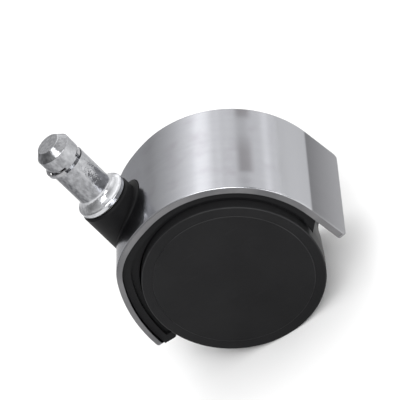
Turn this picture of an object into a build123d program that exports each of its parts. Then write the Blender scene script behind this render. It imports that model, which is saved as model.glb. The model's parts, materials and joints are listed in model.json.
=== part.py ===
"""Hooded twin-wheel swivel caster for an office chair, with a grip-ring stem.

The origin is on the swivel axis, where the stem's straight shank begins.
+Z runs up the stem, +X from the stem towards the axle, +Y to the caster's left.
"""

from build123d import *
import math
import os

os.makedirs("parts", exist_ok=True)

# ---------------------------------------------------------------- driving dimensions, mm
WHEEL_RADIUS = 25.0
TRAIL = 18.4  # swivel axis to axle, across
AXLE_DROP = 37.7  # start of the straight shank to the axle, down

# Stem
SHANK_RADIUS = 5.25
STEM_TIP = 18.8
TIP_FLAT_RADIUS = 3.45
TIP_TAPER = 2.1
TIP_EDGE = 0.3
GROOVE_RADIUS = 4.35
GROOVE_TOP = 12.8
GROOVE_BOTTOM = 11.0
FLARE_RADIUS = 3.0
FLARE_ANGLE = 66.0
COLLAR_RADIUS = 7.4
COLLAR_TOP = -3.0
COLLAR_BOTTOM = -4.5
COLLAR_EDGE = 0.4
PIN_RADIUS = 3.5
PIN_END = -17.2
PIN_GROOVE_RADIUS = 2.7
PIN_GROOVE_TOP = -14.4
PIN_GROOVE_BOTTOM = -15.6
PIN_CHAMFER = 0.6

# Grip ring in the shank's groove, and retaining ring in the pin's groove
RING_INNER_RADIUS = 4.55
RING_OUTER_RADIUS = 5.35  # at the crown of its rounded outside
RING_EDGE_RADIUS = 5.0
RING_SHIFT = 0.15
RING_LEAN = 205.0  # direction it leans in, about the stem
RING_GAP_CENTRE = -47.0
RING_GAP_SPAN = 66.0
RING_PLAY = 0.15  # under each ring, along its groove
RETAINER_INNER_RADIUS = 2.8
RETAINER_OUTER_RADIUS = 4.1
RETAINER_THICKNESS = 0.9
RETAINER_GAP_SPAN = 50.0

# Neck and its socket
NECK_RADIUS = 7.7
NECK_TOP = -4.9
NECK_CHAMFER = 0.5
THRUST_GAP = 0.1
WASHER_RADIUS = 6.4
WASHER_HOLE_RADIUS = 3.8
WASHER_THICKNESS = 1.0
WASHER_CHAMFER = 0.15
WASHER_TOP = COLLAR_BOTTOM - THRUST_GAP
WASHER_BOTTOM = WASHER_TOP - WASHER_THICKNESS
COUNTERBORE_RADIUS = WASHER_RADIUS + 0.1
COUNTERBORE_BOTTOM = WASHER_BOTTOM - 0.05
BUSH_RADIUS = 4.6
BUSH_TOP = WASHER_BOTTOM - 0.1
BUSH_BOTTOM = -14.1
BUSH_CHAMFER = 0.25
SOCKET_BOTTOM = -18.2
RUNNING_CLEARANCE = 0.05
FIXED_CLEARANCE = 0.02

# Hood, seen from the side with the axle at (0, 0): a straight visor, a front arc, a soft shoulder
# around the neck, and a flatter rear arc
HOOD_FRONT_CENTRE = (0.55, 0.95)
HOOD_FRONT_RADIUS = 30.25
HOOD_FRONT_THICKNESS = 2.0
HOOD_VISOR_ANGLE = 8.4
HOOD_VISOR_LENGTH = 12.6
HOOD_SHOULDER_START = 104.0
HOOD_SHOULDER_END = 151.0
HOOD_REAR_CENTRE = (14.2, -3.56)
HOOD_REAR_RADIUS = 45.4
HOOD_REAR_THICKNESS = 1.6
HOOD_REAR_END = 184.2
HOOD_HALF_WIDTH = 17.5
HOOD_CORNER = 1.5
HOOD_EDGE = 0.45
NECK_HOLE_RADIUS = 8.8
NECK_HOLE_SHIFT = 0.95  # forward of the swivel axis

# Housing: fender under the hood, and the web between the wheels
FENDER_GAP = 0.1
FENDER_THICKNESS = 2.2
FENDER_HALF_WIDTH = 16.4
STEP_INNER_RADIUS = 25.5  # flange inside the fender, round the tops of the wheels
STEP_HALF_WIDTH = 15.3
FENDER_VISOR_LENGTH = 3.6
FENDER_REAR_END = 184.9
WHEEL_ROOM_RADIUS = 27.2
BEAD_DEPTH = 4.3
BEAD_HEIGHT = 2.2
BEAD_CORNER = 1.05
LIP_CORNERS = ((28.3, 1.45), (25.4, -1.4), (26.2, 4.0))  # side view, axle at (0, 0)
WEB_RADIUS = 24.0
WEB_HALF_WIDTH = 5.8
WEB_TOP_THICKNESS = 8.0
WEB_BOTTOM = -20.5

# Depths of the layers below the hood's outer line, over the front arc and over the rear arc
HOOD_OUTSIDE = (0.0, 0.0)
HOOD_INSIDE = (HOOD_FRONT_THICKNESS, HOOD_REAR_THICKNESS)
FENDER_OUTSIDE = tuple(depth + FENDER_GAP for depth in HOOD_INSIDE)
FENDER_INSIDE = tuple(depth + FENDER_THICKNESS for depth in FENDER_OUTSIDE)
WEB_INSIDE = tuple(depth + WEB_TOP_THICKNESS for depth in FENDER_OUTSIDE)

# Axle and what sits on it
AXLE_RADIUS = 3.0
AXLE_HALF_LENGTH = 15.6
AXLE_CHAMFER = 0.4
SPACER_RADIUS = 6.0
SPACER_THICKNESS = 0.7
CLIP_RADIUS = 5.0
CLIP_THICKNESS = 0.5
CLIP_START = 14.4
CLIP_SLOT_COUNT = 6
CLIP_SLOT_LENGTH = 1.6
CLIP_SLOT_WIDTH = 0.7

# Wheels, measured outwards from the centre plane
WHEEL_INNER_FACE = 6.3
WHEEL_OUTER_FACE = 18.0
TREAD_FLAT = 4.0  # full-radius band next to the outer face
TREAD_TAPER = 0.5
TYRE_INNER_RADIUS = 22.0
TYRE_OUTER_EDGE = 0.3
TYRE_INNER_EDGE = 0.7
RIM_INNER_RADIUS = 19.8
CAP_SEAT = 16.8
CAP_FACE = 18.15
DISC_INNER_FACE = 13.8
HUB_RADIUS = 6.8
HUB_START = 6.8
HUB_END = 14.2
HUB_POCKET_RADIUS = 5.9
RIB_COUNT = 6
RIB_THICKNESS = 1.6
RIB_START = 7.6
RIB_FIRST_ANGLE = 30.0
RIB_ROOT = 0.5  # how far a rib runs into the hub, the rim and the disc
WHEEL_BUSH_RADIUS = 4.2
CAP_RADIUS = 22.0
CAP_EDGE = 0.2
CAP_SPIGOT_RADIUS = 5.8
CAP_SPIGOT_WALL = 0.45
CAP_SPIGOT_DEPTH = 0.8

SAME = 0.01  # two lengths that differ by less are the same

# ---------------------------------------------------------------- shared planes and axes
AXLE_POINT = Vector(TRAIL, 0, -AXLE_DROP)
AXLE_LINE = Axis(origin=AXLE_POINT, direction=(0, 1, 0))
SIDE_VIEW = Plane(origin=AXLE_POINT, x_dir=(1, 0, 0), z_dir=(0, -1, 0))


def axle_section(side):
    """Plane through the axle whose x runs outwards and whose y is the radius."""
    return Plane(origin=AXLE_POINT, x_dir=(0, side, 0), z_dir=(side, 0, 0))


def arch_face(outer_depths, inner_depths, visor_length, rear_end):
    """Side view of a layer under the hood's outer line.

    Each pair of depths is how far one side of the layer lies below that line, over the front arc
    and over the rear arc.
    """
    with BuildSketch() as face:
        with BuildLine():
            ends = []
            for front_depth, rear_depth in (outer_depths, inner_depths):
                front_arc = CenterArc(
                    HOOD_FRONT_CENTRE,
                    HOOD_FRONT_RADIUS - front_depth,
                    HOOD_VISOR_ANGLE,
                    HOOD_SHOULDER_START - HOOD_VISOR_ANGLE,
                )
                rear_arc = CenterArc(
                    HOOD_REAR_CENTRE,
                    HOOD_REAR_RADIUS - rear_depth,
                    HOOD_SHOULDER_END,
                    rear_end - HOOD_SHOULDER_END,
                )
                Spline(front_arc @ 1, rear_arc @ 0, tangents=[front_arc % 1, rear_arc % 0])
                visor = Line(front_arc @ 0, front_arc @ 0 - (front_arc % 0) * visor_length)
                ends.append((visor @ 1, rear_arc @ 1))
            Line(ends[0][0], ends[1][0])
            Line(ends[0][1], ends[1][1])
        make_face()
    return face.sketch


def looks_away_from_axle(face):
    """True for a face whose normal points straight out from the axle line, give or take 30 degrees."""
    outwards = face.center() - AXLE_POINT
    return face.normal_at().dot(Vector(outwards.X, 0, outwards.Z).normalized()) > 0.87


def gap_face(centre_degrees, span_degrees, ring_radius):
    """Triangle from the origin that cuts a gap of that span in a ring of that radius."""
    start = math.radians(centre_degrees - span_degrees / 2)
    end = math.radians(centre_degrees + span_degrees / 2)
    reach = 2 * ring_radius
    with BuildSketch() as face:
        with BuildLine():
            Polyline(
                (0, 0),
                (reach * math.cos(start), reach * math.sin(start)),
                (reach * math.cos(end), reach * math.sin(end)),
                close=True,
            )
        make_face()
    return face.sketch


# ---------------------------------------------------------------- stem
with BuildPart() as stem:
    with BuildSketch(Plane.XZ):
        with BuildLine():
            shank = Polyline(
                (0, STEM_TIP),
                (TIP_FLAT_RADIUS, STEM_TIP),
                (SHANK_RADIUS, STEM_TIP - TIP_TAPER),
                (SHANK_RADIUS, GROOVE_TOP),
                (GROOVE_RADIUS, GROOVE_TOP),
                (GROOVE_RADIUS, GROOVE_BOTTOM),
                (SHANK_RADIUS, GROOVE_BOTTOM),
                (SHANK_RADIUS, 0),
            )
            flare = JernArc(
                start=shank @ 1, tangent=(0, -1), radius=FLARE_RADIUS, arc_size=FLARE_ANGLE
            )
            Polyline(
                flare @ 1,
                (COLLAR_RADIUS, COLLAR_TOP),
                (COLLAR_RADIUS, COLLAR_BOTTOM),
                (PIN_RADIUS, COLLAR_BOTTOM),
                (PIN_RADIUS, PIN_GROOVE_TOP),
                (PIN_GROOVE_RADIUS, PIN_GROOVE_TOP),
                (PIN_GROOVE_RADIUS, PIN_GROOVE_BOTTOM),
                (PIN_RADIUS, PIN_GROOVE_BOTTOM),
                (PIN_RADIUS, PIN_END),
                (0, PIN_END),
                (0, STEM_TIP),
            )
        make_face()
    revolve(axis=Axis.Z)
    rings = stem.edges().filter_by(GeomType.CIRCLE)
    tip_rings = rings.filter_by_position(Axis.Z, STEM_TIP - TIP_TAPER, STEM_TIP)
    fillet(tip_rings, radius=TIP_EDGE)
    rings = stem.edges().filter_by(GeomType.CIRCLE)
    collar_rings = rings.filter_by_position(Axis.Z, COLLAR_BOTTOM, COLLAR_TOP)
    fillet(collar_rings.sort_by(SortBy.RADIUS)[-2:], radius=COLLAR_EDGE)
    rings = stem.edges().filter_by(GeomType.CIRCLE)
    chamfer(rings.filter_by_position(Axis.Z, PIN_END, PIN_END), length=PIN_CHAMFER)
stem.part.label = "stem"
export_step(stem.part, "parts/stem.step")

# Split spring ring in the shank's groove. It leans to one side, as a free C-shaped ring does.
lean = math.radians(RING_LEAN)
ring_end = math.radians(RING_GAP_CENTRE + RING_GAP_SPAN / 2)
ring_bottom, ring_top = GROOVE_BOTTOM + RING_PLAY, GROOVE_TOP - RING_PLAY
ring_axis = Axis(
    origin=(RING_SHIFT * math.cos(lean), RING_SHIFT * math.sin(lean), 0), direction=(0, 0, 1)
)
ring_section = Plane(
    origin=ring_axis.position,
    x_dir=(math.cos(ring_end), math.sin(ring_end), 0),
    z_dir=(math.sin(ring_end), -math.cos(ring_end), 0),
)
with BuildPart() as grip_ring:
    with BuildSketch(ring_section):
        with BuildLine():
            crown = ThreePointArc(
                (RING_EDGE_RADIUS, ring_bottom),
                (RING_OUTER_RADIUS, (ring_bottom + ring_top) / 2),
                (RING_EDGE_RADIUS, ring_top),
            )
            Polyline(
                crown @ 1, (RING_INNER_RADIUS, ring_top), (RING_INNER_RADIUS, ring_bottom), crown @ 0
            )
        make_face()
    revolve(axis=ring_axis, revolution_arc=360 - RING_GAP_SPAN)
grip_ring.part.label = "grip_ring"
export_step(grip_ring.part, "parts/grip_ring.step")

# Split ring at the foot of the pin: it catches under the bush and holds the stem in.
with BuildPart() as stem_retaining_ring:
    with BuildSketch(Plane.XY.offset(PIN_GROOVE_BOTTOM + RING_PLAY)):
        Circle(RETAINER_OUTER_RADIUS)
        Circle(RETAINER_INNER_RADIUS, mode=Mode.SUBTRACT)
        add(gap_face(0, RETAINER_GAP_SPAN, RETAINER_OUTER_RADIUS), mode=Mode.SUBTRACT)
    extrude(amount=RETAINER_THICKNESS)
stem_retaining_ring.part.label = "stem_retaining_ring"
export_step(stem_retaining_ring.part, "parts/stem_retaining_ring.step")

# ---------------------------------------------------------------- swivel bearing
with BuildPart() as thrust_washer:
    with BuildSketch(Plane.XY.offset(WASHER_BOTTOM)):
        Circle(WASHER_RADIUS)
        Circle(WASHER_HOLE_RADIUS, mode=Mode.SUBTRACT)
    extrude(amount=WASHER_THICKNESS)
    chamfer(thrust_washer.faces().sort_by(Axis.Z)[-1].edges(), length=WASHER_CHAMFER)
thrust_washer.part.label = "thrust_washer"
export_step(thrust_washer.part, "parts/thrust_washer.step")

with BuildPart() as swivel_bush:
    with BuildSketch(Plane.XY.offset(BUSH_BOTTOM)):
        Circle(BUSH_RADIUS)
        Circle(PIN_RADIUS + RUNNING_CLEARANCE, mode=Mode.SUBTRACT)
    extrude(amount=BUSH_TOP - BUSH_BOTTOM)
    chamfer(swivel_bush.faces().sort_by(Axis.Z)[0].edges(), length=BUSH_CHAMFER)
swivel_bush.part.label = "swivel_bush"
export_step(swivel_bush.part, "parts/swivel_bush.step")

# ---------------------------------------------------------------- housing
with BuildPart() as housing:
    # Neck around the stem's pin
    with BuildSketch(Plane.XY.offset(NECK_TOP)):
        Circle(NECK_RADIUS)
    extrude(amount=-(AXLE_DROP + NECK_TOP))
    # Room for the two wheels
    for side in (1, -1):
        with BuildSketch(SIDE_VIEW.offset(side * WEB_HALF_WIDTH)):
            Circle(WHEEL_ROOM_RADIUS)
        extrude(amount=side * NECK_RADIUS, mode=Mode.SUBTRACT)
    # Fender under the hood, with a thick bead along its rear edge
    with BuildSketch(SIDE_VIEW):
        add(arch_face(FENDER_OUTSIDE, FENDER_INSIDE, FENDER_VISOR_LENGTH, FENDER_REAR_END))
    extrude(amount=FENDER_HALF_WIDTH, both=True)
    with BuildSketch(SIDE_VIEW):
        add(arch_face(FENDER_OUTSIDE, WEB_INSIDE, FENDER_VISOR_LENGTH, FENDER_REAR_END))
        Circle(STEP_INNER_RADIUS, mode=Mode.SUBTRACT)
    extrude(amount=STEP_HALF_WIDTH, both=True)
    rear_foot = housing.faces().filter_by(Axis.Y).sort_by(Axis.Y)[0].vertices().sort_by(Axis.X)[0]
    bead_x = rear_foot.X - TRAIL + BEAD_DEPTH / 2
    bead_z = rear_foot.Z + AXLE_DROP + BEAD_HEIGHT / 2
    with BuildSketch(SIDE_VIEW):
        with Locations((bead_x, bead_z)):
            RectangleRounded(BEAD_DEPTH, BEAD_HEIGHT, BEAD_CORNER)
    extrude(amount=FENDER_HALF_WIDTH, both=True)
    # Front lip of the fender, turned in towards the wheels
    with BuildSketch(SIDE_VIEW):
        with BuildLine():
            Polyline(*LIP_CORNERS, close=True)
        make_face()
    extrude(amount=FENDER_HALF_WIDTH, both=True)
    # Web between the wheels, flat underneath
    with BuildSketch(SIDE_VIEW):
        Circle(WEB_RADIUS)
        add(arch_face(FENDER_OUTSIDE, WEB_INSIDE, FENDER_VISOR_LENGTH, FENDER_REAR_END))
        with Locations((0, WEB_BOTTOM)):
            Rectangle(2 * WEB_RADIUS, WEB_RADIUS, align=(Align.CENTER, Align.MAX), mode=Mode.SUBTRACT)
    extrude(amount=WEB_HALF_WIDTH, both=True)
    # Socket for the washer, the bush and the pin
    with Locations(Plane.XY.offset(NECK_TOP)):
        CounterBoreHole(
            radius=BUSH_RADIUS + FIXED_CLEARANCE,
            counter_bore_radius=COUNTERBORE_RADIUS,
            counter_bore_depth=NECK_TOP - COUNTERBORE_BOTTOM,
            depth=NECK_TOP - SOCKET_BOTTOM,
        )
    # Axle bore
    with BuildSketch(SIDE_VIEW):
        Circle(AXLE_RADIUS + FIXED_CLEARANCE)
    extrude(amount=WEB_HALF_WIDTH, both=True, mode=Mode.SUBTRACT)
    neck_rim = housing.edges().filter_by(GeomType.CIRCLE).filter_by_position(
        Axis.Z, NECK_TOP, NECK_TOP
    )
    chamfer(neck_rim.sort_by(SortBy.RADIUS)[-1], length=NECK_CHAMFER)
housing.part.label = "housing"
export_step(housing.part, "parts/housing.step")

# ---------------------------------------------------------------- hood
with BuildPart() as hood:
    with BuildSketch(SIDE_VIEW):
        add(arch_face(HOOD_OUTSIDE, HOOD_INSIDE, HOOD_VISOR_LENGTH, HOOD_REAR_END))
    extrude(amount=HOOD_HALF_WIDTH, both=True)
    across = hood.edges().filter_by(GeomType.LINE).filter_by(
        lambda edge: edge.length < HOOD_FRONT_THICKNESS + SAME
    )
    fillet(across, radius=HOOD_CORNER)
    outside_edges = hood.faces().filter_by(looks_away_from_axle).edges()
    seams = outside_edges.filter_by(Axis.Y).filter_by(
        lambda edge: edge.length > 2 * HOOD_HALF_WIDTH - SAME
    )
    fillet(outside_edges - seams, radius=HOOD_EDGE)
    with BuildSketch(Plane.XY):
        with Locations((NECK_HOLE_SHIFT, 0)):
            Circle(NECK_HOLE_RADIUS)
    extrude(amount=-AXLE_DROP, mode=Mode.SUBTRACT)
hood.part.label = "hood"
export_step(hood.part, "parts/hood.step")

# ---------------------------------------------------------------- axle
with BuildPart() as axle:
    with BuildSketch(SIDE_VIEW):
        Circle(AXLE_RADIUS)
    extrude(amount=AXLE_HALF_LENGTH, both=True)
    chamfer(axle.edges().filter_by(GeomType.CIRCLE), length=AXLE_CHAMFER)
axle.part.label = "axle"
export_step(axle.part, "parts/axle.step")

# ---------------------------------------------------------------- both wheels
for side_name, side in (("left", 1), ("right", -1)):
    section = axle_section(side)

    # Plain washer between the web and the hub
    with BuildPart() as spacer_washer:
        with BuildSketch(section):
            with Locations((WEB_HALF_WIDTH + FIXED_CLEARANCE, AXLE_RADIUS + RUNNING_CLEARANCE)):
                Rectangle(
                    SPACER_THICKNESS,
                    SPACER_RADIUS - AXLE_RADIUS,
                    align=(Align.MIN, Align.MIN),
                )
        revolve(axis=AXLE_LINE)
    spacer_washer.part.label = f"spacer_washer_{side_name}"
    export_step(spacer_washer.part, f"parts/spacer_washer_{side_name}.step")

    # Push-on star clip that keeps the hub on the axle
    with BuildPart() as axle_clip:
        with BuildSketch(SIDE_VIEW.offset(-side * CLIP_START)):
            Circle(CLIP_RADIUS)
            Circle(AXLE_RADIUS + FIXED_CLEARANCE, mode=Mode.SUBTRACT)
            with PolarLocations(AXLE_RADIUS, CLIP_SLOT_COUNT):
                Rectangle(CLIP_SLOT_LENGTH, CLIP_SLOT_WIDTH, mode=Mode.SUBTRACT)
        extrude(amount=-side * CLIP_THICKNESS)
    axle_clip.part.label = f"axle_clip_{side_name}"
    export_step(axle_clip.part, f"parts/axle_clip_{side_name}.step")

    # Sleeve pressed into the hub: it runs on the axle
    with BuildPart() as wheel_bush:
        with BuildSketch(section):
            with Locations((HUB_START, AXLE_RADIUS + RUNNING_CLEARANCE)):
                Rectangle(
                    HUB_END - HUB_START,
                    WHEEL_BUSH_RADIUS - AXLE_RADIUS - RUNNING_CLEARANCE,
                    align=(Align.MIN, Align.MIN),
                )
        revolve(axis=AXLE_LINE)
    wheel_bush.part.label = f"wheel_bush_{side_name}"
    export_step(wheel_bush.part, f"parts/wheel_bush_{side_name}.step")

    # Moulded wheel centre: hub, disc and rim, with ribs on the inner side
    with BuildPart() as wheel:
        with BuildSketch(section):
            with BuildLine():
                Polyline(
                    (WHEEL_INNER_FACE, RIM_INNER_RADIUS),
                    (WHEEL_INNER_FACE, TYRE_INNER_RADIUS),
                    (CAP_SEAT, TYRE_INNER_RADIUS),
                    (CAP_SEAT, HUB_POCKET_RADIUS),
                    (HUB_END, HUB_POCKET_RADIUS),
                    (HUB_END, WHEEL_BUSH_RADIUS + FIXED_CLEARANCE),
                    (HUB_START, WHEEL_BUSH_RADIUS + FIXED_CLEARANCE),
                    (HUB_START, HUB_RADIUS),
                    (DISC_INNER_FACE, HUB_RADIUS),
                    (DISC_INNER_FACE, RIM_INNER_RADIUS),
                    close=True,
                )
            make_face()
        revolve(axis=AXLE_LINE)
        with BuildSketch(SIDE_VIEW.offset(-side * RIB_START)):
            middle = (HUB_RADIUS + RIM_INNER_RADIUS) / 2
            length = RIM_INNER_RADIUS - HUB_RADIUS + 2 * RIB_ROOT
            with PolarLocations(middle, RIB_COUNT, start_angle=RIB_FIRST_ANGLE):
                Rectangle(length, RIB_THICKNESS)
        extrude(amount=-side * (DISC_INNER_FACE + RIB_ROOT - RIB_START))
    wheel.part.label = f"wheel_{side_name}"
    export_step(wheel.part, f"parts/wheel_{side_name}.step")

    # Tread band with rounded shoulders, slightly smaller towards the web
    with BuildPart() as tyre:
        with BuildSketch(section):
            with BuildLine():
                Polyline(
                    (WHEEL_INNER_FACE, TYRE_INNER_RADIUS + FIXED_CLEARANCE),
                    (WHEEL_OUTER_FACE, TYRE_INNER_RADIUS + FIXED_CLEARANCE),
                    (WHEEL_OUTER_FACE, WHEEL_RADIUS),
                    (WHEEL_OUTER_FACE - TREAD_FLAT, WHEEL_RADIUS),
                    (WHEEL_INNER_FACE, WHEEL_RADIUS - TREAD_TAPER),
                    close=True,
                )
            make_face()
        revolve(axis=AXLE_LINE)
        for face, edge_radius in (
            (WHEEL_OUTER_FACE, TYRE_OUTER_EDGE),
            (WHEEL_INNER_FACE, TYRE_INNER_EDGE),
        ):
            face_rings = tyre.edges().filter_by(GeomType.CIRCLE).filter_by_position(
                Axis.Y, side * face, side * face
            )
            fillet(face_rings.sort_by(SortBy.RADIUS)[-1], radius=edge_radius)
    tyre.part.label = f"tyre_{side_name}"
    export_step(tyre.part, f"parts/tyre_{side_name}.step")

    # Cover disc pressed into the outer face, with a short spigot in the hub's pocket
    with BuildPart() as wheel_cap:
        with BuildSketch(section):
            with BuildLine():
                Polyline(
                    (CAP_SEAT + FIXED_CLEARANCE, 0),
                    (CAP_SEAT + FIXED_CLEARANCE, CAP_SPIGOT_RADIUS - CAP_SPIGOT_WALL),
                    (CAP_SEAT - CAP_SPIGOT_DEPTH, CAP_SPIGOT_RADIUS - CAP_SPIGOT_WALL),
                    (CAP_SEAT - CAP_SPIGOT_DEPTH, CAP_SPIGOT_RADIUS),
                    (CAP_SEAT + FIXED_CLEARANCE, CAP_SPIGOT_RADIUS),
                    (CAP_SEAT + FIXED_CLEARANCE, CAP_RADIUS),
                    (CAP_FACE, CAP_RADIUS),
                    (CAP_FACE, 0),
                    close=True,
                )
            make_face()
        revolve(axis=AXLE_LINE)
        face_edge = wheel_cap.edges().filter_by(GeomType.CIRCLE).filter_by(
            lambda edge: abs(edge.radius - CAP_RADIUS) < SAME
        )
        fillet(face_edge.sort_by(Axis.Y)[-1 if side > 0 else 0], radius=CAP_EDGE)
    wheel_cap.part.label = f"wheel_cap_{side_name}"
    export_step(wheel_cap.part, f"parts/wheel_cap_{side_name}.step")
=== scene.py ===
"""Looks for the hooded twin-wheel swivel caster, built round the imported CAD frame.

Metres throughout. The origin is on the swivel axis, +X runs from the stem to the axle.
"""

import json
import math

import bmesh
import bpy
from mathutils import Matrix, Vector
from mathutils.bvhtree import BVHTree


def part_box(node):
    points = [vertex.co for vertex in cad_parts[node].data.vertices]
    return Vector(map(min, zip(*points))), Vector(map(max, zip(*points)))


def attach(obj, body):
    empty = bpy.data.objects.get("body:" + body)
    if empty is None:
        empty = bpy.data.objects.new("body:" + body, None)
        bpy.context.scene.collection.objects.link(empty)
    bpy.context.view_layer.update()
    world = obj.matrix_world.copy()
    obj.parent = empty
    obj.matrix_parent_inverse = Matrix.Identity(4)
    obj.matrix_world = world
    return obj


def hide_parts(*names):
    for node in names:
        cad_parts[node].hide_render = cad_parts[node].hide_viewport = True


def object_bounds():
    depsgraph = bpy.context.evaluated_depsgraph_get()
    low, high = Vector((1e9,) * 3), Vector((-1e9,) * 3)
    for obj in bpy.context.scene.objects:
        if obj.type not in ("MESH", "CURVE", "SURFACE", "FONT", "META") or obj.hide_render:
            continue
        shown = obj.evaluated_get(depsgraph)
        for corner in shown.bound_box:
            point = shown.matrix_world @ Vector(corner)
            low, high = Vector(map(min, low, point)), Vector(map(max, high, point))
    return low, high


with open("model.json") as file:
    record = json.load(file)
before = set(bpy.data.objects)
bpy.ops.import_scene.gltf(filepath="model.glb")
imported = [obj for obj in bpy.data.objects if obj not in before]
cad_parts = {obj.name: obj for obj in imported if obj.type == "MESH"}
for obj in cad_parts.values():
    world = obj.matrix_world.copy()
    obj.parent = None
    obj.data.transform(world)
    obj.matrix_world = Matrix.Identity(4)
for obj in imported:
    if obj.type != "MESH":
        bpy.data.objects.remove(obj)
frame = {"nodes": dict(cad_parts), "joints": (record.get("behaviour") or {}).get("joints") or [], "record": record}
CAD_BOX = [list(corner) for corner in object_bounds()]
NODES = frame["nodes"]
MM = 0.001

# ---------------------------------------------------------------- places, from the frame
AXLE = next(Vector(j["pos_m"]) for j in frame["joints"] if j["name"] == "left_wheel_spin")
FLOOR_Z = CAD_BOX[0][2]
STEM_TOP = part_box("stem")[1].z
VISOR_EDGE_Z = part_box("hood")[0].z

# ---------------------------------------------------------------- camera
CAMERA_FROM_AXLE = Vector((0.2354, -0.5028, 0.3383))
LOOK_AZIMUTH = -65.04
LOOK_ELEVATION = 30.17
CAMERA_ROLL = -45.29
LENS = 212.57
SENSOR = 36.0
NEAR_CLIP = 0.01
FAR_CLIP = 20


def direction(azimuth, elevation):
    """Unit vector towards that azimuth and elevation, in degrees."""
    a, e = math.radians(azimuth), math.radians(elevation)
    return Vector((math.cos(e) * math.cos(a), math.cos(e) * math.sin(a), math.sin(e)))


def add_camera():
    camera = bpy.data.objects.new("camera", bpy.data.cameras.new("camera"))
    bpy.context.scene.collection.objects.link(camera)
    camera.data.lens = LENS
    camera.data.sensor_width = SENSOR
    camera.data.clip_start = NEAR_CLIP
    camera.data.clip_end = FAR_CLIP
    back = direction(LOOK_AZIMUTH, LOOK_ELEVATION)
    level = Vector((0, 0, 1)).cross(back).normalized()
    upright = back.cross(level)
    roll = math.radians(CAMERA_ROLL)
    right = math.cos(roll) * level + math.sin(roll) * upright
    turn = Matrix((right, back.cross(right), back)).transposed()
    camera.matrix_world = Matrix.Translation(AXLE + CAMERA_FROM_AXLE) @ turn.to_4x4()
    bpy.context.scene.camera = camera


# ---------------------------------------------------------------- studio
FLOOR_SIZE = 6
FLOOR_TONE = (0.9, 0.9, 0.9, 1)
FLOOR_ROUGHNESS = 0.9
FLOOR_SPECULAR = 0.1
# Name, azimuth and elevation from the axle in degrees, distance, side and power
SOFTBOXES = (
    ("key", -74, 52, 0.9, 0.4, 2.0),
    ("front", -63, 34, 1.1, 0.4, 4.0),
    ("side", -35, 14, 1.0, 0.3, 1.3),
)
# Studio walls and ceiling: brightness against the angle round the Y axis, from the +X horizon (0)
# over the top (90) to the -X horizon (180). The narrow steps are the edges of screens and flags.
STUDIO_PEAK = 2.6
STUDIO_STEPS = (
    (0, 1.45), (8, 1.45), (10, 2.1), (14, 2.1), (16, 1.42), (31, 1.42), (34, 1.1), (42, 1.1),
    (45, 1.45), (54, 1.6), (60, 1.3), (62, 1.9), (64, 1.9), (66, 1.4), (70, 1.7), (76, 2.4),
    (86, 2.6), (92, 1.9), (104, 1.48), (113, 1.2), (123, 1.0), (134, 0.86), (145, 0.69),
    (154, 0.8), (168, 0.9), (180, 0.9),
)
NEAR_SIDE_SHARE = 0.5  # brightness of the camera's side of the studio, against the far side
SIDE_BLEND = (-0.2, 0.4)  # the Y of a view direction where the near side ends and the far begins


def add_floor():
    bpy.ops.mesh.primitive_plane_add(size=FLOOR_SIZE, location=(0, 0, FLOOR_Z))
    floor = bpy.context.object
    floor.name = "floor"
    material = bpy.data.materials.new("floor_paper")
    material.use_nodes = True
    shader = material.node_tree.nodes["Principled BSDF"]
    shader.inputs["Base Color"].default_value = FLOOR_TONE
    shader.inputs["Roughness"].default_value = FLOOR_ROUGHNESS
    shader.inputs["Specular IOR Level"].default_value = FLOOR_SPECULAR
    floor.data.materials.append(material)


def add_softbox(name, azimuth, elevation, distance, side, power):
    """Square area light that faces the axle from that direction."""
    light = bpy.data.lights.new(name, "AREA")
    light.shape = "RECTANGLE"
    light.size = light.size_y = side
    light.energy = power
    box = bpy.data.objects.new(name, light)
    bpy.context.scene.collection.objects.link(box)
    towards = direction(azimuth, elevation)
    box.location = AXLE + distance * towards
    box.rotation_euler = towards.to_track_quat("Z", "Y").to_euler()


def add_world():
    world = bpy.data.worlds.new("studio")
    bpy.context.scene.world = world
    world.use_nodes = True
    nodes, links = world.node_tree.nodes, world.node_tree.links
    parts = nodes.new("ShaderNodeSeparateXYZ")
    links.new(nodes.new("ShaderNodeTexCoord").outputs["Generated"], parts.inputs["Vector"])
    angle = nodes.new("ShaderNodeMath")
    angle.operation = "ARCTAN2"
    links.new(parts.outputs["Z"], angle.inputs[0])
    links.new(parts.outputs["X"], angle.inputs[1])
    share = nodes.new("ShaderNodeMath")
    share.operation = "DIVIDE"
    share.inputs[1].default_value = math.pi
    links.new(angle.outputs["Value"], share.inputs[0])
    ramp = nodes.new("ShaderNodeValToRGB")
    stops = ramp.color_ramp.elements
    for index, (degrees, brightness) in enumerate(STUDIO_STEPS):
        place = degrees / 180
        if index < 2:
            stop = stops[index]
            stop.position = place
        else:
            stop = stops.new(place)
        level = brightness / STUDIO_PEAK
        stop.color = (level, level, level, 1)
    links.new(share.outputs["Value"], ramp.inputs["Fac"])
    side = nodes.new("ShaderNodeMapRange")
    numbers = (*SIDE_BLEND, NEAR_SIDE_SHARE * STUDIO_PEAK, STUDIO_PEAK)
    for socket, number in zip(side.inputs[1:5], numbers):
        socket.default_value = number
    links.new(parts.outputs["Y"], side.inputs["Value"])
    background = nodes["Background"]
    links.new(side.outputs["Result"], background.inputs["Strength"])
    links.new(ramp.outputs["Color"], background.inputs["Color"])


add_camera()
add_floor()
add_world()
for softbox in SOFTBOXES:
    add_softbox(*softbox)

bpy.context.scene.view_settings.view_transform = "Standard"


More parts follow.
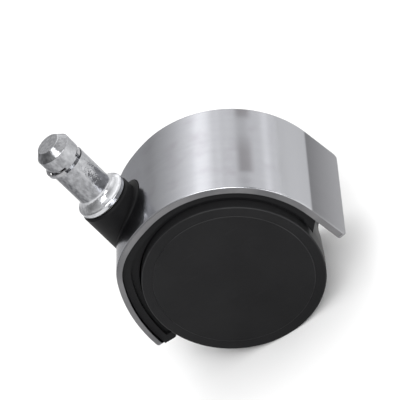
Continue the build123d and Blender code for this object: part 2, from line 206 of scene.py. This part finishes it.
# ---------------------------------------------------------------- material building blocks
class Finish:
    """Node material over the piece's own coordinates, in metres, which are the CAD frame's."""

    def __init__(self, name, metallic, specular):
        self.material = bpy.data.materials.new(name)
        self.material.use_nodes = True
        self.nodes = self.material.node_tree.nodes
        self.links = self.material.node_tree.links
        self.shader = self.nodes["Principled BSDF"]
        self.shader.inputs["Metallic"].default_value = metallic
        self.shader.inputs["Specular IOR Level"].default_value = specular
        self.coords = self.nodes.new("ShaderNodeTexCoord").outputs["Object"]

    def grazing(self, tint):
        """Colour of a metal's reflection at a grazing angle."""
        self.shader.inputs["Specular Tint"].default_value = (*tint, 1)

    def noise(self, stretch, detail, seed):
        """Noise between 0 and 1, with that many features per metre along x, y and z."""
        mapping = self.nodes.new("ShaderNodeMapping")
        mapping.inputs["Scale"].default_value = stretch
        mapping.inputs["Location"].default_value = (seed, 2.3 * seed, 3.1 * seed)
        self.links.new(self.coords, mapping.inputs["Vector"])
        texture = self.nodes.new("ShaderNodeTexNoise")
        texture.inputs["Scale"].default_value = 1.0
        texture.inputs["Detail"].default_value = detail
        texture.inputs["Roughness"].default_value = 0.5
        self.links.new(mapping.outputs["Vector"], texture.inputs["Vector"])
        return texture.outputs["Fac"]

    def spread(self, value, low, high, to_low, to_high, smooth=False):
        """The value's range low to high, carried over to to_low to to_high and clamped there."""
        node = self.nodes.new("ShaderNodeMapRange")
        if smooth:
            node.interpolation_type = "SMOOTHSTEP"
        for socket, number in zip(node.inputs[1:5], (low, high, to_low, to_high)):
            socket.default_value = number
        self.links.new(value, node.inputs["Value"])
        return node.outputs["Result"]

    def maths(self, operation, first, second=None):
        """Each operand is a number or a socket."""
        node = self.nodes.new("ShaderNodeMath")
        node.operation = operation
        for socket, value in zip(node.inputs, (first, second)):
            if isinstance(value, (int, float)):
                socket.default_value = value
            elif value is not None:
                self.links.new(value, socket)
        return node.outputs["Value"]

    def plus(self, first, second):
        return self.maths("ADD", first, second)

    def minus(self, first, second):
        return self.maths("SUBTRACT", first, second)

    def times(self, first, second):
        return self.maths("MULTIPLY", first, second)

    def larger(self, first, second):
        return self.maths("MAXIMUM", first, second)

    def size(self, value):
        return self.maths("ABSOLUTE", value)

    def axis(self, letter):
        """The piece's x, y or z in metres."""
        node = self.nodes.new("ShaderNodeSeparateXYZ")
        self.links.new(self.coords, node.inputs["Vector"])
        return node.outputs[letter]

    def across_and_up(self):
        """Place in the side view, from the wheels' axis."""
        return self.minus(self.axis("X"), AXLE.x), self.minus(self.axis("Z"), AXLE.z)

    def from_axle(self):
        """Distance from the wheels' axis, in metres."""
        across, up = self.across_and_up()
        return self.maths("SQRT", self.plus(self.times(across, across), self.times(up, up)))

    def blend(self, factor, first, second):
        """Colour mix. Each colour is a triple or a socket."""
        node = self.nodes.new("ShaderNodeMix")
        node.data_type = "RGBA"
        self.links.new(factor, node.inputs["Factor"])
        for socket, color in ((node.inputs[6], first), (node.inputs[7], second)):
            if isinstance(color, tuple):
                socket.default_value = (*color, 1)
            else:
                self.links.new(color, socket)
        return node.outputs[2]

    def colour(self, socket):
        self.links.new(socket, self.shader.inputs["Base Color"])

    def rough(self, socket):
        self.links.new(socket, self.shader.inputs["Roughness"])

    def bumps(self, *layers):
        """Each layer is a height socket and its full height in metres."""
        normal = None
        for height, depth in layers:
            node = self.nodes.new("ShaderNodeBump")
            node.inputs["Strength"].default_value = 1.0
            node.inputs["Distance"].default_value = depth
            self.links.new(height, node.inputs["Height"])
            if normal is not None:
                self.links.new(normal, node.inputs["Normal"])
            normal = node.outputs["Normal"]
        self.links.new(normal, self.shader.inputs["Normal"])


# ---------------------------------------------------------------- plastics
# Each overlay takes the finish, its cloudy noise and the colour so far, and gives the new colour. The overlays
# below paint dust with fill light, and edge highlights.
BLACK = (0.0072, 0.0072, 0.0078)
BLACK_LIGHT = (0.0098, 0.0098, 0.0104)
# Dust colour that also paints fill light into shaded places under the hood and on the tread
DUST_AND_FILL_BLACK = (0.0185, 0.0185, 0.0193)
# Painted highlight colour for the edges of the tyre and the cap
PAINTED_HIGHLIGHT_BLACK = (0.032, 0.032, 0.033)

CLOUD_SCALE = (90, 90, 90)
NOISE_RANGE = (0.3, 0.7)  # where most of a noise lies
CLOUD_BUMP = 2.5  # its depth against the grain's
SCUFF_SCALE = (160, 160, 900)
SCUFF_RANGE = (0.60, 0.74)
SCUFF_LIGHTENING = 1.45
SCUFF_SHARE = 0.3
SCUFF_ROUGHNESS = 0.03

ARCH_DUST_AND_FILL_RADII = (27.6 * MM, 28.6 * MM)  # dust and painted fill light inside the first, none outside the second
ARCH_DUST_AND_FILL_DEPTHS = (15.0 * MM, 15.2 * MM)  # the same, from the middle plane
TREAD_DUST_AND_FILL_RADII = (24.8 * MM, 24.97 * MM)
TYRE_EDGE = 24.8 * MM
CAP_RIM = 21.95 * MM
EDGE_WIDTH = 0.2 * MM
HIGHLIGHT_PATCH_RANGE = (0.3, 0.6)  # cloudy noise where the painted edge highlight goes from faint to full
FAINT_HIGHLIGHT = 0.4


def dust_and_fill_light_arch(finish, cloud, base):
    """Dust and painted fill light: a lighter colour on what lies deep under the hood, round the wheels."""
    inside = finish.spread(finish.from_axle(), *ARCH_DUST_AND_FILL_RADII, 1, 0, True)
    deep = finish.spread(finish.size(finish.axis("Y")), *ARCH_DUST_AND_FILL_DEPTHS, 1, 0)
    return finish.blend(finish.times(inside, deep), base, DUST_AND_FILL_BLACK)


def dust_and_fill_light_tread(finish, cloud, base):
    """Dust and painted fill light: a lighter colour on the running surface of a tyre."""
    return finish.blend(
        finish.spread(finish.from_axle(), *TREAD_DUST_AND_FILL_RADII, 0, 1), base, DUST_AND_FILL_BLACK
    )


def painted_edge_highlight(radius):
    """Painted highlight: a pale, patchy line along the edge at that radius about the axle."""

    def overlay(finish, cloud, base):
        away = finish.size(finish.minus(finish.from_axle(), radius))
        line = finish.spread(away, 0, EDGE_WIDTH, 1, 0, True)
        patchy = finish.spread(cloud, *HIGHLIGHT_PATCH_RANGE, FAINT_HIGHLIGHT, 1)
        return finish.blend(finish.times(line, patchy), base, PAINTED_HIGHLIGHT_BLACK)

    return overlay


def moulded_plastic(name, dark, light, specular, roughness, grain, grain_depth, seed, overlays=()):
    """Moulded plastic: cloudy colour, a fine grain, faint paler scuffs, and the given overlays of dust, painted
    fill light and painted highlights.
    """
    finish = Finish(name, 0.0, specular)
    cloud = finish.noise(CLOUD_SCALE, 3, seed)
    scuff = finish.spread(finish.noise(SCUFF_SCALE, 4, seed + 5), *SCUFF_RANGE, 0, 1)
    base = finish.blend(finish.spread(cloud, *NOISE_RANGE, 0, 1), dark, light)
    for overlay in overlays:
        base = overlay(finish, cloud, base)
    scuffed = tuple(min(1.0, SCUFF_LIGHTENING * c) for c in light)
    finish.colour(finish.blend(finish.times(scuff, SCUFF_SHARE), base, scuffed))
    satin = finish.spread(cloud, *NOISE_RANGE, *roughness)
    finish.rough(finish.plus(satin, finish.times(scuff, SCUFF_ROUGHNESS)))
    fine = finish.noise((grain, grain, grain), 2, seed + 9)
    finish.bumps((fine, grain_depth), (cloud, CLOUD_BUMP * grain_depth))
    return finish.material


# ---------------------------------------------------------------- hood
HOOD_DARK = (0.338, 0.342, 0.361)
HOOD_LIGHT = (0.351, 0.355, 0.373)
HOOD_STAIN = (0.27, 0.255, 0.28)
HOOD_GRAZING = (0.5, 0.5, 0.51)
STAIN_SHARE = 0.5
# Features per metre along x, y and z: the brush lines run round the arch
BRUSH_SCALE = (14, 6500, 14)
STREAK_SCALE = (5, 900, 5)
HOOD_CLOUD_SCALE = (70, 110, 70)
STAIN_SCALE = (150, 150, 150)
STAIN_RANGE = (0.52, 0.8)
BRUSH_SHARE = 0.45
STREAK_SHARE = 0.55

# Duller cast faces at the two sides of the hood, their colour darkened further as painted shade
RIM_DULL_SHADED_DARK = (0.115, 0.115, 0.12)
RIM_DULL_SHADED_LIGHT = (0.19, 0.188, 0.193)
RIM_DEPTHS = (17.42 * MM, 17.49 * MM)
RIM_ROUGHNESS = 0.24
RIM_CLOUD_RANGE = (0.35, 0.65)

# Painted reflection tones: the visor below the crease, from light at its lower edge to dark at the crease, the
# band above the crease painted lighter, and the rear below the neck painted darker
CREASE_Z = AXLE.z + 6.3 * MM
CREASE_WIDTH = 1.0 * MM
VISOR_PAINTED_DARK = (0.158, 0.158, 0.164)
VISOR_PAINTED_LIGHT = (0.335, 0.335, 0.346)
VISOR_BRUSHING = (0.02, 0.1)
PAINTED_FRONT_SHEEN = (0.42, 0.424, 0.443)
FRONT_HEIGHTS = (AXLE.z + 14 * MM, AXLE.z + 17.5 * MM)
PAINTED_REAR_SHADE = (0.2, 0.2, 0.21)
REAR_HEIGHTS = (AXLE.z + 17 * MM, AXLE.z + 29 * MM)

# Two painted reflections, darker patches, on the front shoulder
PAINTED_REFLECTION_TONE = (0.24, 0.234, 0.247)
REFLECTION_PATCH_ANGLE = math.radians(46.3)
REFLECTION_PATCH_HALF_SPAN = (0.025, 0.095)
REFLECTION_PATCH_RIGHT_END = (-11.8 * MM, -9.6 * MM)
REFLECTION_PATCH_LEFT_END = (-4 * MM, 9 * MM)
EDGE_REFLECTION_PATCH_END = (11.5 * MM, 15.5 * MM)
FAINT_REFLECTION_PATCH = 0.75

BRUSH_RANGE = (0.36, 0.64)
BRUSH_ROUGHNESS = (0.15, 0.16)
HAZE_ROUGHNESS = (0, 0.05)
BRUSH_DEPTH = 0.0002 * MM
WAVE_DEPTH = 0.012 * MM


def painted_reflection_mask(finish, cloud):
    """One painted reflection across the middle of the hood's front shoulder and one at its left edge."""
    across, up = finish.across_and_up()
    round_arch = finish.minus(finish.maths("ARCTAN2", up, across), REFLECTION_PATCH_ANGLE)
    strip = finish.spread(finish.size(round_arch), *REFLECTION_PATCH_HALF_SPAN, 1, 0, True)
    width = finish.axis("Y")
    middle = finish.times(
        finish.spread(width, *REFLECTION_PATCH_RIGHT_END, 0, 1, True),
        finish.spread(width, *REFLECTION_PATCH_LEFT_END, 1, 0, True),
    )
    both = finish.larger(middle, finish.spread(width, *EDGE_REFLECTION_PATCH_END, 0, 1, True))
    patchy = finish.spread(cloud, *NOISE_RANGE, FAINT_REFLECTION_PATCH, 1)
    return finish.times(finish.times(strip, both), patchy)


def satin_hood():
    """Satin nickel, brushed round the arch, with a duller cast rim on its two side faces that is also painted
    darker as shade. Its colour also carries painted reflections: tones on the visor, above the crease and at the
    rear, and two patches on the front shoulder.
    """
    finish = Finish("hood_satin_nickel", 1.0, 0.5)
    finish.grazing(HOOD_GRAZING)
    fine = finish.noise(BRUSH_SCALE, 2, 1.0)
    streak = finish.noise(STREAK_SCALE, 2, 4.0)
    cloud = finish.noise(HOOD_CLOUD_SCALE, 4, 7.0)
    stain = finish.spread(finish.noise(STAIN_SCALE, 5, 12.0), *STAIN_RANGE, 0, 1)
    brushed = finish.plus(finish.times(fine, BRUSH_SHARE), finish.times(streak, STREAK_SHARE))
    tone = finish.blend(finish.spread(brushed, *BRUSH_RANGE, 0, 1), HOOD_DARK, HOOD_LIGHT)
    tone = finish.blend(finish.times(stain, STAIN_SHARE), tone, HOOD_STAIN)
    # Painted reflections: two darker patches on the front shoulder
    tone = finish.blend(painted_reflection_mask(finish, cloud), tone, PAINTED_REFLECTION_TONE)

    # Painted reflection tones: a lighter band above the crease, and the visor graded from light at its edge to
    # dark at the crease
    height = finish.axis("Z")
    in_front = finish.spread(finish.axis("X"), AXLE.x, AXLE.x + CREASE_WIDTH, 0, 1)
    behind = finish.spread(finish.axis("X"), AXLE.x - CREASE_WIDTH, AXLE.x, 1, 0)
    sheen_band = finish.spread(height, *FRONT_HEIGHTS, 1, 0, True)
    tone = finish.blend(finish.times(sheen_band, in_front), tone, PAINTED_FRONT_SHEEN)
    fall = finish.spread(height, VISOR_EDGE_Z, CREASE_Z, 0, 1)
    painted_visor = finish.blend(fall, VISOR_PAINTED_LIGHT, VISOR_PAINTED_DARK)
    painted_visor = finish.blend(finish.spread(brushed, *NOISE_RANGE, *VISOR_BRUSHING), painted_visor, tone)
    below_crease = finish.spread(height, CREASE_Z - CREASE_WIDTH, CREASE_Z, 1, 0, True)
    tone = finish.blend(finish.times(below_crease, in_front), tone, painted_visor)
    # Painted shade: the rear below the neck is darker
    rear_shade_band = finish.spread(height, *REAR_HEIGHTS, 1, 0, True)
    tone = finish.blend(finish.times(rear_shade_band, behind), tone, PAINTED_REAR_SHADE)

    # Side faces: a duller cast finish, with the colour darkened as painted shade
    rim = finish.spread(finish.size(finish.axis("Y")), *RIM_DEPTHS, 0, 1, True)
    rim_dull_and_shaded_tone = finish.blend(finish.spread(cloud, *RIM_CLOUD_RANGE, 0, 1), RIM_DULL_SHADED_DARK, RIM_DULL_SHADED_LIGHT)
    finish.colour(finish.blend(rim, tone, rim_dull_and_shaded_tone))
    satin = finish.plus(
        finish.spread(brushed, *BRUSH_RANGE, *BRUSH_ROUGHNESS),
        finish.spread(cloud, *NOISE_RANGE, *HAZE_ROUGHNESS),
    )
    finish.rough(finish.plus(satin, finish.times(rim, RIM_ROUGHNESS)))
    finish.bumps((fine, BRUSH_DEPTH), (cloud, WAVE_DEPTH))
    return finish.material


# ---------------------------------------------------------------- plating and plain metal
PLATE_GRAZING = (0.72, 0.72, 0.73)
TURNED_SCALE = (30, 30, 2600)
CHROME_REFLECTION_SCALE = (330, 330, 45)
CHROME_REFLECTION_RANGE = (0.36, 0.62)
CHROME_REFLECTION_TONE = (-0.05, 0.2)
DENT_SCALE = (620, 620, 420)
DENT_RANGE = (0.45, 0.75)
MOTTLE_SCALE = (1300, 1300, 800)
MOTTLE_RANGE = (0.35, 0.65)
MOTTLE_SHADE = (-0.12, 0.16)
PIT_SCALE = (1500, 1500, 1100)
TURNED_DEPTH = 0.0015 * MM
DENT_DEPTH = 0.07 * MM
PIT_DEPTH = 0.05 * MM
DENT_ROUGHNESS = 0.08
REFLECTION_SIDE_REACH = 5 * MM  # painted reflection: the plating's colour lightens from the rear of the stem to its front over this X
PAINTED_SIDE_REFLECTION = 0.6
COLLAR_BLEND = 0.6 * MM
PAINTED_COLLAR_REFLECTION = 0.7
PAINTED_TIP_REFLECTION = 0.62
TIP_BLEND = 0.1 * MM
GROUND_DEPTH = 0.004 * MM
OIL_SCALE = (260, 260, 260)


def plated(name, dark, light, roughness, seed):
    """Bright plating over turned steel: turned rings, mottling, small dents and pits. Its colour carries painted
    reflections: cloudy bands, a lighter front side, a lighter collar and a lighter tip face.
    """
    finish = Finish(name, 1.0, 0.5)
    finish.grazing(PLATE_GRAZING)
    turned = finish.noise(TURNED_SCALE, 2, seed)
    painted_reflection_bands = finish.noise(CHROME_REFLECTION_SCALE, 3, seed + 3)
    dents = finish.noise(DENT_SCALE, 5, seed + 6)
    mottle = finish.noise(MOTTLE_SCALE, 3, seed + 12)
    pits = finish.noise(PIT_SCALE, 2, seed + 8)

    # Painted reflections in the colour: lighter towards the front, on the collar and on the tip face, and cloudy
    # bands
    side = finish.spread(finish.axis("X"), -REFLECTION_SIDE_REACH, REFLECTION_SIDE_REACH, 0, PAINTED_SIDE_REFLECTION, True)
    painted_collar = finish.spread(finish.axis("Z"), -COLLAR_BLEND, 0, PAINTED_COLLAR_REFLECTION, 0, True)
    painted_tip = finish.spread(finish.axis("Z"), STEM_TOP - TIP_BLEND, STEM_TOP, 0, PAINTED_TIP_REFLECTION)
    painted_patches = finish.plus(finish.spread(painted_reflection_bands, *CHROME_REFLECTION_RANGE, *CHROME_REFLECTION_TONE), side)
    painted_patches = finish.larger(finish.plus(painted_patches, painted_collar), painted_tip)
    mottle_and_painted_reflection = finish.plus(painted_patches, finish.spread(mottle, *MOTTLE_RANGE, *MOTTLE_SHADE))
    finish.colour(finish.blend(mottle_and_painted_reflection, dark, light))
    dulled = finish.spread(dents, *DENT_RANGE, 0, DENT_ROUGHNESS)
    finish.rough(finish.plus(finish.spread(turned, *NOISE_RANGE, *roughness), dulled))
    finish.bumps((turned, TURNED_DEPTH), (dents, DENT_DEPTH), (pits, PIT_DEPTH))
    return finish.material


def plain_metal(name, dark, light, roughness, seed, lines):
    """Ground or sintered metal with lines along one direction and cloudy oil staining."""
    finish = Finish(name, 1.0, 0.5)
    ground = finish.noise(lines, 3, seed)
    oil = finish.noise(OIL_SCALE, 4, seed + 2)
    finish.colour(finish.blend(finish.spread(oil, *NOISE_RANGE, 0, 1), dark, light))
    finish.rough(finish.spread(ground, *NOISE_RANGE, *roughness))
    finish.bumps((ground, GROUND_DEPTH))
    return finish.material


# ---------------------------------------------------------------- one finish for each slot
FINISHES = {
    "stem_chrome": plated(
        "chrome_plate", (0.08, 0.082, 0.088), (0.5, 0.505, 0.522), (0.1, 0.16), 2.0
    ),
    "ring_steel": plated("ring_plate", (0.2, 0.2, 0.21), (0.5, 0.5, 0.51), (0.14, 0.24), 11.0),
    "spring_steel": plain_metal(
        "spring_steel", (0.2, 0.2, 0.215), (0.36, 0.36, 0.38), (0.28, 0.42), 3.0, (500, 60, 3000)
    ),
    "natural_nylon": moulded_plastic(
        "natural_nylon", (0.62, 0.6, 0.53), (0.72, 0.7, 0.64), 0.4, (0.42, 0.55),
        2600, 0.01 * MM, 4.0,
    ),
    "sintered_bronze": plain_metal(
        "sintered_bronze", (0.3, 0.19, 0.09), (0.5, 0.34, 0.18), (0.4, 0.58), 6.0,
        (2500, 2500, 2500),
    ),
    "housing_nylon": moulded_plastic(
        "housing_nylon", BLACK, BLACK_LIGHT, 0.07, (0.44, 0.56), 3600, 0.014 * MM, 8.0,
        (dust_and_fill_light_arch,),
    ),
    "hood_metal": satin_hood(),
    "axle_steel": plain_metal(
        "axle_steel", (0.36, 0.36, 0.37), (0.5, 0.5, 0.52), (0.2, 0.34), 9.0, (4000, 120, 4000)
    ),
    "wheel_nylon": moulded_plastic(
        "wheel_nylon", BLACK, BLACK_LIGHT, 0.12, (0.46, 0.58), 3000, 0.014 * MM, 13.0
    ),
    "tread": moulded_plastic(
        "tread_polyurethane", BLACK, BLACK_LIGHT, 0.09, (0.36, 0.42), 1500, 0.005 * MM, 17.0,
        (dust_and_fill_light_tread, painted_edge_highlight(TYRE_EDGE)),
    ),
    "cap_plastic": moulded_plastic(
        "cap_plastic", BLACK, BLACK_LIGHT, 0.09, (0.38, 0.46), 2400, 0.018 * MM, 21.0,
        (painted_edge_highlight(CAP_RIM),),
    ),
}
SLOT_OF = {part["node"]: part["material_slot"] for part in frame["record"]["subparts"]}
for name, node in NODES.items():
    node.data.materials.clear()
    node.data.materials.append(FINISHES[SLOT_OF[name]])

# ---------------------------------------------------------------- pieces built here
SMOOTH_BELOW = 40  # degrees between faces


def new_piece(name, mesh_maker, body, slot, *replaced):
    """Object from a bmesh, smooth shaded, that rides a body and wears one of the finishes."""
    mesh = bpy.data.meshes.new(name)
    mesh_maker.normal_update()
    mesh_maker.to_mesh(mesh)
    mesh_maker.free()
    for polygon in mesh.polygons:
        polygon.use_smooth = True
    mesh.set_sharp_from_angle(angle=math.radians(SMOOTH_BELOW))
    piece = bpy.data.objects.new(name, mesh)
    bpy.context.scene.collection.objects.link(piece)
    mesh.materials.append(FINISHES[slot])
    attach(piece, body)
    if replaced:
        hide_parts(*replaced)
    return piece


def join_loops(shape, loops, closed):
    """Faces between neighbouring loops of as many corners, and over the ends if left open."""
    count = len(loops[0])
    following = loops[1:] + loops[:1] if closed else loops[1:]
    for first, second in zip(loops, following):
        for i in range(count):
            j = (i + 1) % count
            shape.faces.new((first[i], first[j], second[j], second[i]))
    if not closed:
        shape.faces.new(loops[0])
        shape.faces.new(reversed(loops[-1]))
    bmesh.ops.recalc_face_normals(shape, faces=shape.faces)
    return shape


# Split ring, standing out of its groove on the side it leans to
RING_RADIUS = 5.22 * MM
RING_WIDTH = 0.6 * MM
RING_CORNER = 0.22 * MM
RING_CORNER_STEPS = 5
RING_SHIFT = 0.5 * MM
RING_LEAN = 205
RING_FILL = 0.86  # its height against the groove's
RING_GAP_CENTRE = -47
RING_GAP_SPAN = 66
RING_STEPS = 120


def rounded_outline(width, height, corner):
    """Points of a rectangle with rounded corners, middle at (0, 0), counter-clockwise."""
    points = []
    corners = ((1, 1, 0), (-1, 1, 90), (-1, -1, 180), (1, -1, 270))
    for side_x, side_y, start in corners:
        for step in range(RING_CORNER_STEPS + 1):
            angle = math.radians(start + 90 * step / RING_CORNER_STEPS)
            points.append(
                (
                    side_x * (width / 2 - corner) + corner * math.cos(angle),
                    side_y * (height / 2 - corner) + corner * math.sin(angle),
                )
            )
    return points


def split_ring(centre, radius, outline, start, end):
    """Ring about a vertical line through centre, from one angle to another, with closed ends."""
    shape = bmesh.new()
    loops = []
    for step in range(RING_STEPS + 1):
        outwards = direction(start + (end - start) * step / RING_STEPS, 0)
        loops.append(
            [
                shape.verts.new(centre + (radius + x) * outwards + Vector((0, 0, z)))
                for x, z in outline
            ]
        )
    return join_loops(shape, loops, closed=False)


ring_low, ring_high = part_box("grip_ring")
ring_height = RING_FILL * (ring_high[2] - ring_low[2])
lean = RING_SHIFT * direction(RING_LEAN, 0)
new_piece(
    "grip_ring_sprung",
    split_ring(
        Vector((lean.x, lean.y, ring_low[2] + ring_height / 2)),
        RING_RADIUS,
        rounded_outline(RING_WIDTH, ring_height, RING_CORNER),
        RING_GAP_CENTRE + RING_GAP_SPAN / 2,
        RING_GAP_CENTRE - RING_GAP_SPAN / 2 + 360,
    ),
    "stem_unit",
    "ring_steel",
    "grip_ring",
)

# Moulded boss that fills the hood's neck hole and stands a little above the hood all round
BOSS_STEPS = 96
BOSS_SHIFT = 0.95 * MM
BOSS_RADIUS = 8.62 * MM
BOSS_INNER_RADIUS = 7.5 * MM
BOSS_LIFT = 0.3 * MM
BOSS_DEPTH = 2.4 * MM
BOSS_EDGE = 0.45 * MM
BOSS_EDGE_STEPS = 5
BOSS_DISH = 0.3 * MM
BESIDE_HOLE = 12 * MM


def neck_boss(height_at):
    """Ring between the neck and the hood's hole. height_at gives the hood's top at an x."""
    shape = bmesh.new()
    loops = []
    for step in range(BOSS_STEPS):
        angle = 2 * math.pi * step / BOSS_STEPS
        rim = Vector((BOSS_SHIFT + BOSS_RADIUS * math.cos(angle), BOSS_RADIUS * math.sin(angle), 0))
        inwards = -rim.normalized()
        top = height_at(rim.x) + BOSS_LIFT
        loop = [rim + Vector((0, 0, top - BOSS_DEPTH))]
        for part in range(BOSS_EDGE_STEPS + 1):
            turn = math.pi / 2 * part / BOSS_EDGE_STEPS
            loop.append(
                rim
                + BOSS_EDGE * (1 - math.cos(turn)) * inwards
                + Vector((0, 0, top - BOSS_EDGE * (1 - math.sin(turn))))
            )
        foot = -BOSS_INNER_RADIUS * inwards
        loop.append(foot + Vector((0, 0, top - BOSS_DISH)))
        loop.append(foot + Vector((0, 0, top - BOSS_DEPTH)))
        loops.append([shape.verts.new(point) for point in loop])
    return join_loops(shape, loops, closed=True)


hood_mesh = NODES["hood"].data
hood_surface = BVHTree.FromPolygons(
    [vertex.co.copy() for vertex in hood_mesh.vertices],
    [tuple(polygon.vertices) for polygon in hood_mesh.polygons],
)


def hood_top(x):
    """Height of the hood's outer surface at that x, taken beside the neck hole."""
    hit = hood_surface.ray_cast(Vector((x, BESIDE_HOLE, 0.0)), Vector((0, 0, -1)))
    return hit[0].z


new_piece("neck_boss", neck_boss(hood_top), "housing_unit", "housing_nylon")
